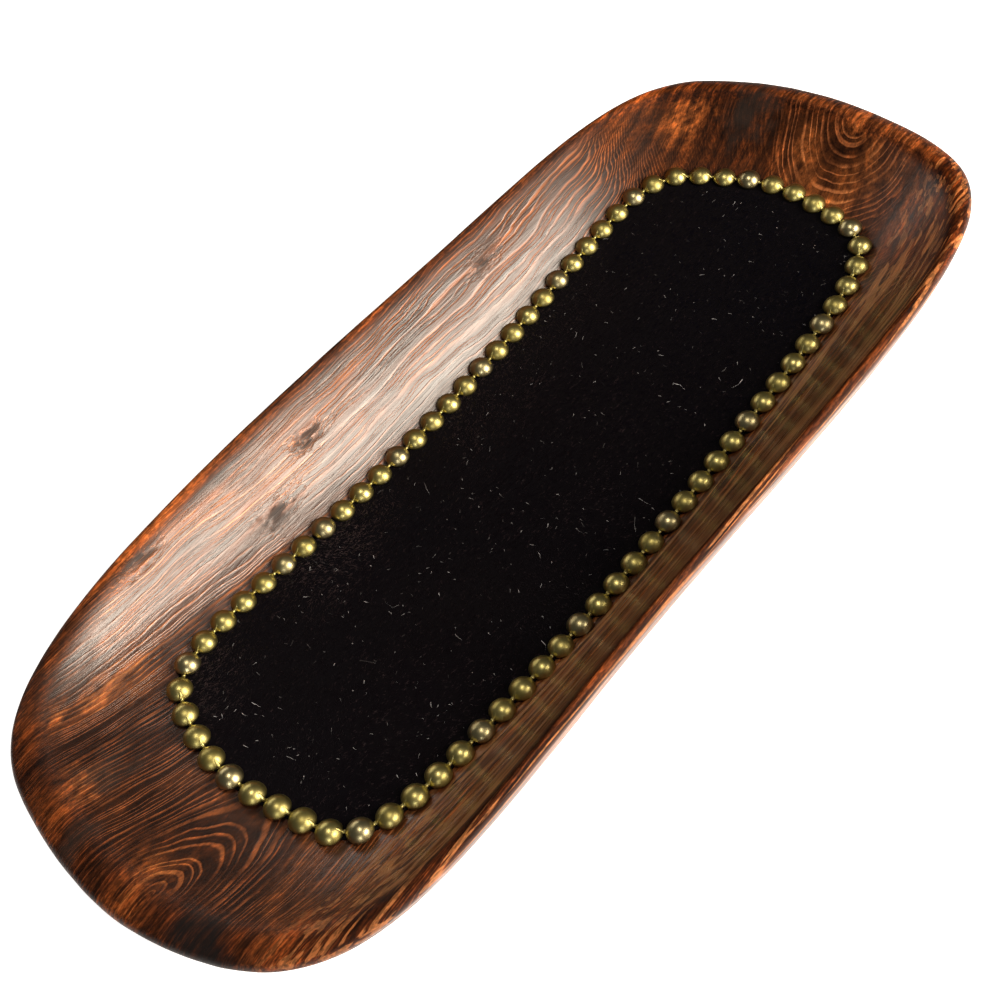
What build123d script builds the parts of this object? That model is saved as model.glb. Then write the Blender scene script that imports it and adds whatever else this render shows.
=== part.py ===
from build123d import *
from math import cos, exp, pi, sin, sqrt
import os

# Hand-carved wooden trough tray with a cloth-lined floor.  The cloth's edge is covered by a strip
# of upholsterer's nail-head trim, held down by a real domed tack at every fifth head.
# Millimetres.  +X runs along the tray, +Z is up, and the tray stands on its flat foot at Z = 0.

# ---- Tray: plan outlines -----------------------------------------------------------------------
# Each outline is a superellipse whose radius wanders a little, as a carved edge does.  "waves" holds
# the (cosine, sine) share of the radius for one, two, three and four waves a turn.
RIM = {"half": (226.7, 103.5), "squareness": 5.1, "centre": (2.8, -1.2),
       "waves": ((-0.019, 0.0), (0.053, -0.035), (0.001, -0.003), (0.012, 0.011))}
LOOP = {"half": (177.3, 62.8), "squareness": 7.8, "centre": (4.0, 2.1),
        "waves": ((0.016, -0.052), (0.043, -0.004), (0.004, 0.013), (0.012, -0.003))}
OUTLINE_POINTS = 72

# ---- Tray: heights and wall ----------------------------------------------------------------------
FLOOR_THICKNESS = 12.0       # wood under the middle of the floor
LIP_HEIGHT = 58.3            # crisp inner lip at mid-length, the highest line of the tray
LIP_DIP = 7.8               # how much lower the lip is at the ends
LIP_INSET = (11.4, 3.6)      # from the widest line in to the lip, at the ends and the sides
RIM_DROP = 5.0               # from the lip down to the widest line
END_RISE = 13.0              # how far the floor climbs to the trim at the two ends
END_TILT = 3.5               # the -X end of the floor climbs this much more, the +X end less
SIDE_RISE = 3.6              # how far the floor climbs to the trim at the sides
WALL_START_SLOPE = 0.35      # slope of the inner wall at the trim, as a share of its mean slope
WALL_CURL = 1.8              # power of the inner wall's upward curl
FOOT_HALF = (163.0, 56.0)    # flat foot, as the rim outline's half sizes
# Outer wall between foot and widest line: (share of the way out, share of the way up)
OUTER_WALL = ((0.20, 0.04), (0.40, 0.12), (0.57, 0.24), (0.71, 0.39), (0.82, 0.55), (0.91, 0.72),
              (0.97, 0.87))
# Rounded rim between widest line and lip: (share of the inset, share of the drop still left)
RIM_ROUND = ((0.05, 0.70), (0.18, 0.42), (0.38, 0.20), (0.62, 0.07), (0.90, 0.0))
LIP_ROUND = 0.025            # share of the inner wall taken by the lip's small inner radius
WALL_STEPS = (0.90, 0.80, 0.70, 0.60, 0.50, 0.40, 0.30, 0.20, 0.10, 0.03)
FLOOR_STEPS = (1.0, 0.92, 0.82, 0.71, 0.59, 0.46, 0.32, 0.17)
CENTRE_STEP = 0.03           # share of the small level patch in the middle of the floor

# ---- Lining ----------------------------------------------------------------------------------------
LINING_THICKNESS = 1.5
LINING_GAP = 0.06            # glue line between cloth and wood
LINING_EDGE = 0.03           # share of the inner wall that the cloth's edge climbs, under the trim

# ---- Nail-head trim and tacks ----------------------------------------------------------------------
HEAD_RADIUS = 5.55           # 7/16 inch heads
HEAD_HEIGHT = 4.0
METAL = 0.45                 # thickness of the stamped metal
HEAD_COUNT = 76              # round the loop, one yard of trim in all
FIRST_HEAD = 0.0324          # place of head 0, as a share of a turn from the loop's +X end
JOINT_HEAD = 24              # the two ends of the strip meet under this tack
TACK_HEADS = (0, 5, 10, 15, 20, 24, 26, 31, 36, 41, 46, 51, 56, 61, 66, 71)
HEAD_LIFT = 0.35             # the trim rides this far above the cloth's face
TACK_LIFT = 0.10             # and a tack's rim this far above its ring
NECK_WIDTH = 3.4
NECK_OVERLAP = 0.35          # how far a neck runs into each head's rim
RING_RADIUS = 5.2            # flat ring under a tack's head
RING_HOLE_RADIUS = 1.1
SHANK_RADIUS = 0.95
SHANK_LENGTH = 9.2           # below the head's rim
SHANK_POINT = 2.2            # length of the pointed end
SHANK_TIP = 0.15             # radius at the very tip, as a share of the shank's
PIERCE_CLEARANCE = 0.02
PLACE_STEPS = 1440           # steps used to walk the trim's loop
NUDGE = 0.01                 # angle either side of a head that gives its direction
ARC_ANGLE = pi / 5           # where the dome's section arc passes its middle point

FULL_TURN = 2 * pi


def outline_point(outline, turn, half=None):
    """Plan point of an outline at an angle, for its own or other half sizes."""
    c, s = cos(turn), sin(turn)
    power = outline["squareness"]
    radius = (abs(c) ** power + abs(s) ** power) ** (-1 / power)
    wander = sum(a * cos(k * turn) + b * sin(k * turn)
                 for k, (a, b) in enumerate(outline["waves"], start=1))
    radius *= exp(wander)
    half_x, half_y = half or outline["half"]
    centre_x, centre_y = outline["centre"]
    return (centre_x + half_x * radius * c, centre_y + half_y * radius * s)


def lip_height(x):
    """Height of the inner lip, which dips towards the two ends."""
    return LIP_HEIGHT - LIP_DIP * (x / RIM["half"][0]) ** 2


def floor_height(x, y):
    """Height of the carved wooden floor inside the trim."""
    along = (x - LOOP["centre"][0]) / LOOP["half"][0]
    across = (y - LOOP["centre"][1]) / LOOP["half"][1]
    return FLOOR_THICKNESS + END_RISE * along ** 2 - END_TILT * along * abs(along) + SIDE_RISE * across ** 2


def wall_point(turn, share, lift=0.0):
    """Point on the inner wall: share 0 is the trim's loop, share 1 is the lip."""
    x0, y0 = outline_point(LOOP, turn)
    lip_half = [size - inset for size, inset in zip(RIM["half"], LIP_INSET)]
    x1, y1 = outline_point(RIM, turn, half=lip_half)
    start, end = floor_height(x0, y0), lip_height(x1)
    climb = WALL_START_SLOPE * share + (1 - WALL_START_SLOPE) * share ** WALL_CURL
    return (x0 + (x1 - x0) * share, y0 + (y1 - y0) * share, start + (end - start) * climb + lift)


def floor_point(turn, share, lift=0.0):
    """Point on the floor: share 1 is the trim's loop, share 0 is the loop's centre."""
    x, y = outline_point(LOOP, turn)
    x = LOOP["centre"][0] + (x - LOOP["centre"][0]) * share
    y = LOOP["centre"][1] + (y - LOOP["centre"][1]) * share
    return (x, y, floor_height(x, y) + lift)


def rim_point(turn, inset_share, drop_share):
    """Point on the rounded rim between the widest line (0, 1) and the lip (1, 0)."""
    half = [size - inset * inset_share for size, inset in zip(RIM["half"], LIP_INSET)]
    x, y = outline_point(RIM, turn, half=half)
    return (x, y, lip_height(x) - RIM_DROP * drop_share)


def outer_point(turn, out_share, up_share):
    """Point on the outer wall between the foot (0, 0) and the widest line (1, 1)."""
    half = [foot + (size - foot) * out_share for foot, size in zip(FOOT_HALF, RIM["half"])]
    x, y = outline_point(RIM, turn, half=half)
    return (x, y, (lip_height(x) - RIM_DROP) * up_share)


def ring_wire(point_at):
    """Closed smooth wire through points spread evenly round a turn."""
    turns = [FULL_TURN * i / OUTLINE_POINTS for i in range(OUTLINE_POINTS)]
    knots = [i / OUTLINE_POINTS for i in range(OUTLINE_POINTS + 1)]
    return Wire(Edge.make_spline([Vector(*point_at(t)) for t in turns], periodic=True, parameters=knots))


def centre_wire(lift=0.0):
    """Small level ring round the centre of the floor, which closes a loft."""
    def point_at(turn):
        x, y, _ = floor_point(turn, CENTRE_STEP)
        return (x, y, FLOOR_THICKNESS + lift)
    return ring_wire(point_at)


def make_tray_blank():
    """Tray body before the tacks are driven: one loft from foot, round the rim, to the floor."""
    wires = [ring_wire(lambda t: outer_point(t, 0, 0))]
    for out_share, up_share in OUTER_WALL:
        wires.append(ring_wire(lambda t: outer_point(t, out_share, up_share)))
    wires.append(ring_wire(lambda t: rim_point(t, 0, 1)))
    for inset_share, drop_share in RIM_ROUND:
        wires.append(ring_wire(lambda t: rim_point(t, inset_share, drop_share)))
    wires.append(ring_wire(lambda t: wall_point(t, 1 - LIP_ROUND)))
    for share in WALL_STEPS:
        wires.append(ring_wire(lambda t: wall_point(t, share)))
    for share in FLOOR_STEPS:
        wires.append(ring_wire(lambda t: floor_point(t, share)))
    wires.append(centre_wire())
    return Solid.make_loft(wires, ruled=True)


def make_lining_blank():
    """Cloth lining before it is pierced: a thin sheet that follows the floor."""
    low = LINING_GAP
    high = LINING_GAP + LINING_THICKNESS
    wires = [centre_wire(low)]
    for share in reversed(FLOOR_STEPS):
        wires.append(ring_wire(lambda t: floor_point(t, share, low)))
    wires.append(ring_wire(lambda t: wall_point(t, LINING_EDGE, low)))
    wires.append(ring_wire(lambda t: wall_point(t, LINING_EDGE, high)))
    for share in FLOOR_STEPS:
        wires.append(ring_wire(lambda t: floor_point(t, share, high)))
    wires.append(centre_wire(high))
    return Solid.make_loft(wires, ruled=True)


def head_turns():
    """Angles of the heads, an equal distance apart along the loop."""
    turns = [FULL_TURN * (FIRST_HEAD + i / PLACE_STEPS) for i in range(PLACE_STEPS + 1)]
    points = [Vector(*floor_point(t, 1.0)) for t in turns]
    lengths = [0.0]
    for here, there in zip(points, points[1:]):
        lengths.append(lengths[-1] + (there - here).length)
    pitch = lengths[-1] / HEAD_COUNT
    found, step = [], 0
    for head in range(HEAD_COUNT):
        while lengths[step + 1] < head * pitch:
            step += 1
        share = (head * pitch - lengths[step]) / (lengths[step + 1] - lengths[step])
        found.append(turns[step] + share * (turns[step + 1] - turns[step]))
    return found


def head_plane(turn):
    """Seat of a head: over the cloth, square to the floor's own slope."""
    here = Vector(*floor_point(turn, 1.0))
    along = Vector(*floor_point(turn + NUDGE, 1.0)) - Vector(*floor_point(turn - NUDGE, 1.0))
    outward = here - Vector(*floor_point(turn, FLOOR_STEPS[1]))
    normal = along.cross(outward).normalized()
    if normal.Z < 0:
        normal = normal * -1
    lift = LINING_GAP + LINING_THICKNESS + HEAD_LIFT
    return Plane(origin=here + normal * lift, x_dir=along, z_dir=normal)


def cap_radius(base_radius, height):
    """Radius of the sphere that a dome of this base and height is cut from."""
    return (base_radius ** 2 + height ** 2) / (2 * height)


def dome_shell(thickness):
    """Hollow domed head standing on the plane z = 0."""
    ball = cap_radius(HEAD_RADIUS, HEAD_HEIGHT)
    inner = ball - thickness
    sink = ball - HEAD_HEIGHT
    inner_base = sqrt(inner ** 2 - sink ** 2)
    outer_mid = Vector(ball * sin(ARC_ANGLE), 0, ball * cos(ARC_ANGLE) - sink)
    inner_mid = Vector(inner * sin(ARC_ANGLE), 0, inner * cos(ARC_ANGLE) - sink)
    section = Wire([
        Edge.make_three_point_arc((HEAD_RADIUS, 0, 0), outer_mid, (0, 0, HEAD_HEIGHT)),
        Edge.make_line((0, 0, HEAD_HEIGHT), (0, 0, HEAD_HEIGHT - thickness)),
        Edge.make_three_point_arc((0, 0, HEAD_HEIGHT - thickness), inner_mid, (inner_base, 0, 0)),
        Edge.make_line((inner_base, 0, 0), (HEAD_RADIUS, 0, 0)),
    ])
    return revolve(Face(section), Axis.Z, 360)


def shank(radius, top):
    """Tack shank with its point, from a height down through the plane z = 0."""
    body_length = SHANK_LENGTH - SHANK_POINT + top
    body = Pos(0, 0, top - body_length / 2) * Cylinder(radius, body_length)
    point = Pos(0, 0, -SHANK_LENGTH + SHANK_POINT / 2) * Cone(radius * SHANK_TIP, radius, SHANK_POINT)
    return body + point


def make_tack():
    """Domed tack with its rim on z = 0."""
    return dome_shell(METAL) + shank(SHANK_RADIUS, HEAD_HEIGHT - METAL / 2)


def nail_ring():
    """Flat ring of the strip that a tack is driven through."""
    ring = Cylinder(RING_RADIUS, METAL) - Cylinder(RING_HOLE_RADIUS, METAL)
    return Pos(0, 0, METAL / 2) * ring


def neck(plane_a, plane_b):
    """Flat link between two neighbouring heads of the strip."""
    gap = plane_b.origin - plane_a.origin
    length = gap.length - 2 * (HEAD_RADIUS - NECK_OVERLAP)
    normal = (plane_a.z_dir + plane_b.z_dir).normalized()
    seat = Plane(origin=plane_a.origin + gap * 0.5, x_dir=gap, z_dir=normal)
    return seat.location * Pos(0, 0, METAL / 2) * Box(length, NECK_WIDTH, METAL)


def make_trim(planes):
    """The stamped strip: domes, nail rings and the necks between them, as one piece."""
    dome, ring = dome_shell(METAL), nail_ring()
    pieces = []
    for head, plane in enumerate(planes):
        if head != JOINT_HEAD:
            pieces.append(plane.location * (ring if head in TACK_HEADS else dome))
        following = (head + 1) % HEAD_COUNT
        if JOINT_HEAD not in (head, following):
            pieces.append(neck(plane, planes[following]))
    return pieces[0].fuse(*pieces[1:])


def main():
    planes = [head_plane(turn) for turn in head_turns()]
    on_ring = Pos(0, 0, METAL + TACK_LIFT)
    tack_seats = [planes[head].location * on_ring for head in TACK_HEADS]
    pierce = [seat * shank(SHANK_RADIUS + PIERCE_CLEARANCE, HEAD_HEIGHT) for seat in tack_seats]
    blank = make_tray_blank()
    centre = blank.bounding_box().center()
    to_origin = Pos(-centre.X, -centre.Y, 0)
    nodes = {
        "tray_body": blank.cut(*pierce),
        "floor_lining": make_lining_blank().cut(*pierce),
        "nailhead_trim": make_trim(planes),
    }
    tack = make_tack()
    for number, seat in enumerate(tack_seats, start=1):
        nodes[f"tack_{number:02d}"] = seat * tack
    os.makedirs("parts", exist_ok=True)
    for name, shape in nodes.items():
        export_step(to_origin * shape, f"parts/{name}.step")


main()
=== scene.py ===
"""Coin display tray: a hand-carved, stained wooden trough with a black pile lining and nail-head trim.

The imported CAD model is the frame.  Every visible piece is rebuilt here on the same outlines, in metres.
"""

import math

import bpy
import numpy as np
from mathutils import Matrix, Vector, noise


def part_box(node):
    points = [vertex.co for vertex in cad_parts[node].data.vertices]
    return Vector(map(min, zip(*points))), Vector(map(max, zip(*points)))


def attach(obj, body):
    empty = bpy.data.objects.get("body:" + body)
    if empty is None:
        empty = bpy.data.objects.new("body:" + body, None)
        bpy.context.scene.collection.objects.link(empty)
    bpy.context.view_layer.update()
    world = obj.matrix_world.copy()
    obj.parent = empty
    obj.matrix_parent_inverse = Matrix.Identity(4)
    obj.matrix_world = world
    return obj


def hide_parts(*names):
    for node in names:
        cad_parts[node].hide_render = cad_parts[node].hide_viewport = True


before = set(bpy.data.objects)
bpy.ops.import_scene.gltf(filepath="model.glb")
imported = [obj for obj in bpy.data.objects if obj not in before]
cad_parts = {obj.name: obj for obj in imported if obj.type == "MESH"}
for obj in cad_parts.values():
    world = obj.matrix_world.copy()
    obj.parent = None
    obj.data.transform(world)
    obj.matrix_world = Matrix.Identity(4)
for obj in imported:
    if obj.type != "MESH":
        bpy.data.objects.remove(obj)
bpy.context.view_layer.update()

MM = 0.001
FULL_TURN = 2 * math.pi

# ---- Carved form, as in the CAD model (millimetres) ----
RIM = {"half": (226.7, 103.5), "squareness": 5.1, "centre": (2.8, -1.2),
       "waves": ((-0.019, 0.0), (0.053, -0.035), (0.001, -0.003), (0.012, 0.011))}
LOOP = {"half": (177.3, 62.8), "squareness": 7.8, "centre": (4.0, 2.1),
        "waves": ((0.016, -0.052), (0.043, -0.004), (0.004, 0.013), (0.012, -0.003))}
FLOOR_THICKNESS = 12.0
LIP_HEIGHT = 58.3
LIP_DIP = 7.8                   # how much lower the lip is at the two ends
LIP_INSET = (11.4, 3.6)
RIM_DROP = 5.0
END_RISE = 13.0
END_TILT = 3.5
SIDE_RISE = 3.6
WALL_START_SLOPE = 0.35
WALL_CURL = 1.8
FOOT_HALF = (163.0, 56.0)
OUTER_WALL = ((0.0, 0.0), (0.20, 0.04), (0.40, 0.12), (0.57, 0.24), (0.71, 0.39), (0.82, 0.55),
              (0.91, 0.72), (0.97, 0.87), (1.0, 1.0))       # shares outwards and upwards

# ---- Trim and tacks, as in the CAD model (millimetres) ----
HEAD_LIFT = 1.91
TACK_LIFT = 0.55
HEAD_RADIUS = 5.55
HEAD_HEIGHT = 4.0
METAL = 0.45
HEAD_COUNT = 76
FIRST_HEAD = 0.0324             # share of a turn
JOINT_HEAD = 24                 # the place where the strip's ends meet under a tack
TACK_HEADS = (0, 5, 10, 15, 20, 24, 26, 31, 36, 41, 46, 51, 56, 61, 66, 71)
NECK_WIDTH = 3.4
NECK_SADDLE = 0.75
NECK_START = 0.55
NECK_STEPS = 15
NECK_SECTION = (-1.0, -0.8, -0.5, -0.2, 0.2, 0.5, 0.8, 1.0)
NECK_CROWN = 0.16               # extra height in the middle of a neck
NECK_WAIST = (0.46, 0.34, 0.35)     # share of the width in the middle, added by the heads, lost at the tips
NECK_FALL = 0.75                # share of its crown that a neck loses at its edges
NECK_SINK = 0.1
RING_RADIUS = 5.2
RING_HOLE_RADIUS = 1.1
SHANK_RADIUS = 0.95
SHANK_LENGTH = 9.2
SHANK_POINT = 2.2
DOME_FACETS, TACK_FACETS, SHANK_FACETS = 32, 40, 16
OUTSIDE_STEPS, INSIDE_STEPS = 11, 6
HEAD_TILT = 0.05                # how far a hand-set head leans, in radians
HEAD_NUDGE, HEAD_INWARD = 0.01, 0.92    # step along the loop and share inwards, to find the slopes
STRIP_SEED, TACK_SEED = 7, 11

# ---- Mesh of the tray ----
PATH_SAMPLES, OUTLINE_SAMPLES, LOOP_SAMPLES = 4001, 2000, 721
TRAY_COLUMNS = 900
OUTER_STEPS, RIM_STEPS, WALL_STEPS = 3, 10, 44
FOOT_SHARES = (0.35, 0.7, 0.93)
FLOOR_SHARES = (0.97, 0.9, 0.75, 0.5, 0.25)
LIP_TURN = math.radians(82)
WALL_TOP_GAP = 0.008
LIP_REACH, LIP_SOFTENING = 7, 14
LIP_SOFT_FROM, LIP_SOFT_SPAN, LIP_SOFT_LEAST = -120.0, 80.0, 0.06
CARVE_SIZE = (45, 22, 22)       # length of a tool's cuts along X, Y and Z
CARVE_DEPTH = 0.5
CARVE_OCTAVES = 3
FOOT_EDGE = 4.0                 # height below which the cuts fade out towards the foot

# ---- Lining, pile and lint (lengths in millimetres, rises in degrees, other angles in radians) ----
LINING_TOP = 1.5
LINING_EDGE = 0.03              # share of the wall that the cloth climbs
LINING_COLUMNS, LINING_RINGS, LINING_CENTRE = 420, 46, 0.02
CLOTH_THICKNESS = 1.0
CLOTH_WAVE, CLOTH_WAVE_SIZE, CLOTH_SINK = 14, 0.25, 0.1
CLOTH_WAVE_AT = 3.0             # the layer of noise that the cloth's waves are cut from
BLADE_STEPS = (0.0, 0.5, 1.0)
BLADE_TAPER = 0.75
BLADE_ARCH = 0.35               # how much steeper a hair starts than it ends
HAIR_COUNT = 48000
HAIR_SEED = 21
HAIR_REACH = 0.97
HAIR_LENGTH = (1.4, 2.8)
HAIR_WIDTH = 0.13
HAIR_HEADING, HAIR_HEADING_SPREAD = math.radians(205), 0.42
HAIR_SWEEP, HAIR_SWEEP_TURN, HAIR_SWEEP_AT = 42, 1.3, 0.5
HAIR_RISE = (12, 38)
HAIR_CURL = 0.25
LINT_COUNT = 520
LINT_SEED = 5
LINT_REACH = 0.95
LINT_LIFT = 1.4
LINT_LENGTH_LEAST, LINT_LENGTH_SHAPE, LINT_LENGTH_SCALE = 0.5, 1.4, 0.60
LINT_WIDTH = (0.06, 0.14)
LINT_HEADING, LINT_HEADING_SPREAD = math.radians(250), 0.60
LINT_RISE = (0, 14)
LINT_CURL = 0.20
LONG_LINT_COUNT, LONG_LINT_LENGTH, LONG_LINT_CURL = 9, (5.0, 8.5), 5

# ---- Wood figure (metres) ----
PITH = (-0.017, 0.049)          # Y and Z of the tree's heart line, which runs along the tray
PITH_LEAN = -0.018              # how far the heart line drifts in Y along X
GROWTH_RING = 0.0023            # width of a year's ring at the heart
RING_CROWDING = 4.5             # how fast the rings get narrower outwards, per metre
RING_DRIFT, RING_DRIFT_SCALE = 3.4, 190.0
FINE_RINGS = 3.0                # faint lines in each year
TRUNK_WAVES = (((5, 14, 14), 2.0, (0, 0, 0), 0.016), ((17, 40, 40), 2.0, (3, 1, 7), 0.0050),
               ((48, 70, 70), 2.0, (1, 5, 2), 0.0016), ((90, 330, 330), 1.0, (1, 5, 2), 0.0004))
KNOT_PUSH = 0.0022              # how far a knot pushes the rings outwards
KNOTS = (((-0.134, 0.095, 0.051), 0.005), ((-0.079, 0.077, 0.028), 0.006),
         ((-0.045, 0.087, 0.039), 0.005), ((0.075, 0.085, 0.040), 0.005))
RUBBED_PLACES = (((-0.202, 0.075, 0.045), 0.007), ((-0.179, 0.071, 0.038), 0.009),
                 ((-0.225, 0.043, 0.047), 0.009), ((-0.231, -0.006, 0.047), 0.010),
                 ((-0.212, -0.066, 0.050), 0.010), ((0.200, 0.057, 0.040), 0.009),
                 ((0.195, -0.067, 0.038), 0.010), ((0.222, -0.021, 0.049), 0.007))
SMOKED_PLACES = (((-0.193, 0.081, 0.046), 0.009), ((-0.212, 0.042, 0.038), 0.009),
                 ((-0.235, 0.025, 0.050), 0.006), ((0.213, 0.028, 0.045), 0.012))
CHAR_AT = (-0.229, -0.036, 0.048)
SPOT_STRETCH = (0.45, 1.0, 1.0)
SPOT_EDGE = (0.1, 1.5)
CHAR_STRETCH = (1.0, 0.55, 1.0)
CHAR_RAGGED = 0.030
CHAR_EDGE = (0.020, 0.030)
RAGGED_KNOTS, RAGGED_RUBBED, RAGGED_SMOKED = (170, 420, 420), (60, 260, 260), (80, 160, 160)
KNOT_RAGGEDNESS, SPOT_RAGGEDNESS = 2.4, 2.2

# Noises that the wood's look is mixed from.  A scale is in features per metre for X, Y and Z.
FIBRE = {"scale": (26, 1100, 1100), "detail": 3.0, "roughness": 0.6}
STREAK = {"scale": (8, 300, 300), "detail": 4.0, "roughness": 0.65, "offset": (2, 4, 9)}
PATCH = {"scale": (10, 24, 24), "detail": 4.0, "roughness": 0.6, "offset": (4, 8, 1), "distortion": 0.6}
BLOT = {"scale": (32, 55, 55), "detail": 3.0, "roughness": 0.6, "offset": (9, 3, 4)}
RING_FADE = {"scale": (30, 70, 70), "detail": 2.0, "offset": (7, 2, 2)}
THREAD = {"scale": (3, 450, 450), "detail": 1.0, "roughness": 0.5, "offset": (3, 3, 3)}
STROKE = {"scale": (12, 420, 20), "detail": 3.0, "roughness": 0.7, "offset": (5, 2, 4)}
SPECK = {"scale": (230, 800, 800), "detail": 2.0, "roughness": 0.7, "offset": (6, 1, 2)}

# Where on the tray a look starts and ends, in metres, and its share at either side where it isn't 0 and 1.
FAR_END = (0.145, 0.195)
NEAR_END = (-0.165, -0.205)
NEAR_SIDE = (-0.058, -0.070)
FAR_SIDE, FAR_SIDE_ALONG = (0.058, 0.085), (-0.20, 0.10, 1.0, 0.3)
BELOW_RIM, BELOW_LIP = (0.0010, 0.0080), (0.0003, 0.0016)
BULLSEYE = (0.030, 0.042)       # distance from the heart line
WIDER_YEARS = (0.150, 0.215, 1.0, 0.62)
DULL_FAR, DULL_FAR_ACROSS = (0.100, 0.175, 0.0, 0.98), (-0.060, -0.025, 0.35, 1.0)

# Where in a year or a noise a look starts and ends, and its share at either side where it isn't 0 and 1.
RIDGE_RISE, RIDGE_END = (0.56, 0.84), (0.90, 1.0)      # shares of a year
RIDGE_FADE = (0.32, 0.60, 0.15, 1.0)
FINE_LINE = (0.35, 0.95)
BROWN_PATCH = (0.38, 0.66)
RUBBED_PATCH, RUBBED_STREAK = (0.50, 0.74, 0.0, 0.9), (0.34, 0.62, 0.25, 1.15)
STREAK_IS_PALE, STREAK_IS_DARK = (0.50, 0.72, 0.0, 0.8), (0.46, 0.30, 0.0, 0.7)
FIBRE_IS_DARK, FIBRE_IS_PALE = (0.54, 0.68, 0.0, 0.65), (0.44, 0.34, 0.0, 0.5)
BLOT_IS_DARK = (0.40, 0.28, 0.0, 0.7)
THREAD_LINE = (0.52, 0.57, 0.0, 0.85)
SPECK_LINE = (0.42, 0.60)       # for specks and strokes
WAX_ROUGHNESS = (0.7, 1.3, 0.26, 0.38)      # over fibre and streak added up

# How strong each look is.
RIDGE_LOST_ON_RIM, RIDGE_LOST_AT_END = 0.6, 0.9
RUBBED_RIM, RUBBED_LIP, RUBBED_FAR_SIDE, RUBBED_NEAR_WALL, RUBBED_END = 0.12, 0.25, 0.40, 0.50, 0.06
FINE_BROWN, RUBBED_BARE, RIDGE_SHOWS = 0.30, 0.75, 0.90
NEAR_SIDE_SHARE, NEAR_END_SHARE, STROKE_SHARE, SPECK_SHARE = 0.8, 0.8, 0.85, 0.75
KNOT_DARK, SMOKE_DARK, CHAR_DARK = 0.8, 0.65, 0.9
KNOT_DULL, NEAR_END_DULL = 0.7, 0.7
FIBRE_RELIEF, RIDGE_RELIEF, FINE_RELIEF = -0.75, 0.40, 0.10
RIDGE_SMOOTHER, DULL_ROUGHER = -0.06, 0.22
WAX_SHINE, DULL_SHINE_LOSS = 0.75, -0.70
WOOD_BUMP = (0.00022, 0.8)      # depth in metres, strength

# Colours of the wood, and tints that multiply its colour.
DARK_STAIN = (0.010, 0.0029, 0.0011)
BROWN_STAIN = (0.045, 0.0138, 0.0036)
WORN_WOOD = (0.25, 0.076, 0.019)
RIDGE_WOOD = (0.27, 0.085, 0.028)
WORN_RIDGE = (0.56, 0.210, 0.060)
THREAD_WOOD = (0.33, 0.14, 0.050)
KNOT_WOOD = (0.022, 0.014, 0.011)
SMOKED = (0.024, 0.018, 0.015)
CHARRED = (0.006, 0.005, 0.005)
PALE_STREAK, DARK_STREAK = (2.1, 1.8, 1.5), (0.35, 0.33, 0.33)
PALE_FIBRE, DARK_FIBRE = (1.9, 1.7, 1.5), (0.30, 0.26, 0.25)
DARK_BLOT = (0.40, 0.38, 0.40)
NEAR_SIDE_TINT = (0.62, 0.55, 0.50)
NEAR_END_TINT = (0.70, 0.64, 0.60)
BULLSEYE_TINT = (1.35, 1.35, 1.45)
DARK_STROKE, PALE_STROKE = (0.58, 0.54, 0.52), (1.90, 1.65, 1.40)
DARK_SPECK, PALE_SPECK = (0.40, 0.34, 0.30), (1.45, 1.15, 1.0)

# ---- Other looks ----
CLOTH_PATCH = {"scale": (14, 14, 14), "offset": (5, 2, 0)}
CLOTH_NAP = {"scale": (350, 900, 350), "roughness": 0.6}
CLOTH_BUMP = (0.0006, 0.7)
HAIR_PATCH = {"scale": (11, 16, 11), "detail": 2.0, "offset": (1, 2, 0)}
HAIR_TONE = {"scale": (320, 1000, 320), "detail": 2.0, "roughness": 0.6}
BRASS_CLOUD = {"scale": (160, 160, 160), "roughness": 0.6}
BRASS_GRIT = {"scale": (500, 500, 500), "detail": 2.0}
BRASS_BUMP = (0.00003, 0.3)
LINT_TONE = {"scale": (90, 90, 90), "detail": 1.0}
CLOTH_TONES = ((0.0012, 0.0010, 0.0022), (0.0028, 0.0018, 0.0022))
HAIR_TONES = ((0.0008, 0.0010, 0.0036), (0.0045, 0.0020, 0.0024))
BROWN_SHEEN = (0.110, 0.070, 0.070)
BLUE_HAIR = (0.0004, 0.0010, 0.0056)
PALE_HAIR = (0.036, 0.024, 0.027)
SHEEN_ACROSS, BLUE_ALONG = (0.015, 0.060), (0.0, 0.16, 0.0, 0.8)
LINT_TONES = ((0.10, 0.09, 0.09), (0.95, 0.94, 0.96))
STRIP_BRASS = ((0.46, 0.40, 0.15), (0.32, 0.27, 0.085), 0.33)       # bright, toned, roughness
TACK_BRASS = ((0.43, 0.375, 0.20), (0.32, 0.275, 0.14), 0.30)
BRASS_TONED_ROUGHER = 0.12

# ---- Stage and camera (metres, watts, degrees) ----
FLOOR_HALF = 3.0
FLOOR_COLOUR, FLOOR_GLOW = (0.85, 0.85, 0.85, 1.0), 0.80
WHITE = (1.0, 1.0, 1.0, 1.0)
WORLD_STRENGTH = 0.07
LIGHTS = (("window", (0.51, -1.27, 0.82), (0, 0.05, 0.03), (0.92, 0.98), 50.0, (1.0, 0.885, 0.745)),
          ("overhead", (0.0, -0.05, 1.35), (-0.12, 0.06, 0.03), (0.35, 0.25), 5.0, (1.0, 0.90, 0.78)),
          ("side_fill", (-0.95, -0.9, 0.75), (0, 0, 0.03), (0.22, 0.22), 4.0, (1.0, 0.97, 0.93)),
          ("back_fill", (0.15, 1.35, 0.63), (0, 0, 0.03), (1.2, 0.5), 4.0, (1.0, 0.92, 0.84)))
CAMERA_AT = (-0.2156, -0.2641, 0.4956)
CAMERA_AZIMUTH, CAMERA_ELEVATION, CAMERA_ROLL = -36.67, 54.95, -16.86
CAMERA_LENS = 48.5
CAMERA_CLIP = 0.01


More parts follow.
